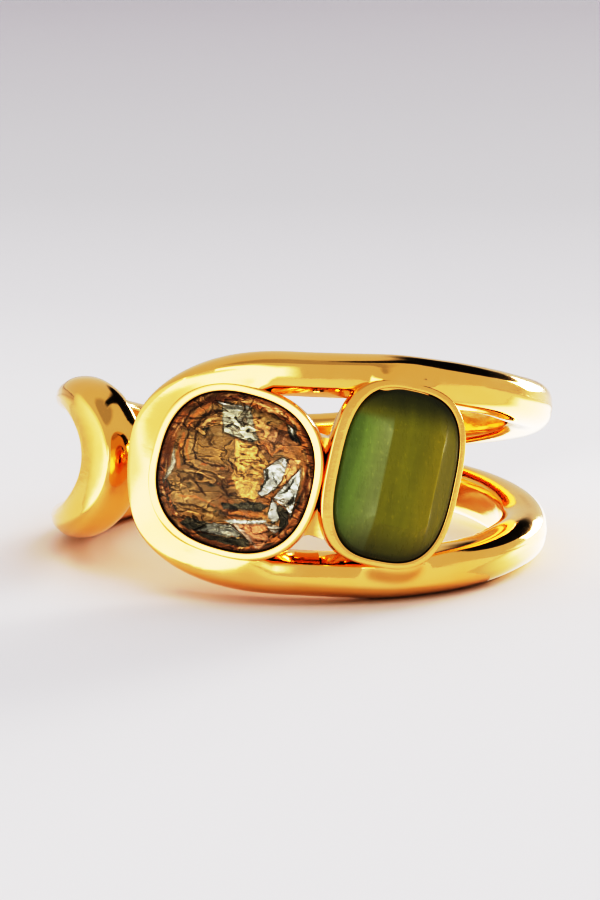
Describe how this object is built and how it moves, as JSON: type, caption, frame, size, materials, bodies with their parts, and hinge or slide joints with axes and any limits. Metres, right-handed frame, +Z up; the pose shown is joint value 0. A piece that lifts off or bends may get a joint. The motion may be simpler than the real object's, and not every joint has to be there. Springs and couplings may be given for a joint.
{
  "type": "wrap ring",
  "caption": "Open wrap ring in polished gold: rails that meet at the back, a rounded loop end with brown and green rim-set stones, and a bracket-shaped end facing it across a gap.",
  "frame": {"origin": "middle of the finger bore, halfway between the rails' outer edges", "axes": "+Z up as the ring lies on a table, -Y toward the front with the stones, +X to the right as seen from the front. The finger bore leans 7.6 degrees from +Z, toward +Y."},
  "size_m": [0.0212, 0.022, 0.0101],
  "materials": {
    "gold": "polished yellow gold plate",
    "brown_glass": "polished smoky brown glass with a crinkled foil look inside",
    "green_glass": "polished green glass with a silky band of light"
  },
  "bodies": {
    "root": {"ring_band": "gold", "brown_stone": "brown_glass", "green_stone": "green_glass"}
  },
  "joints": []
}
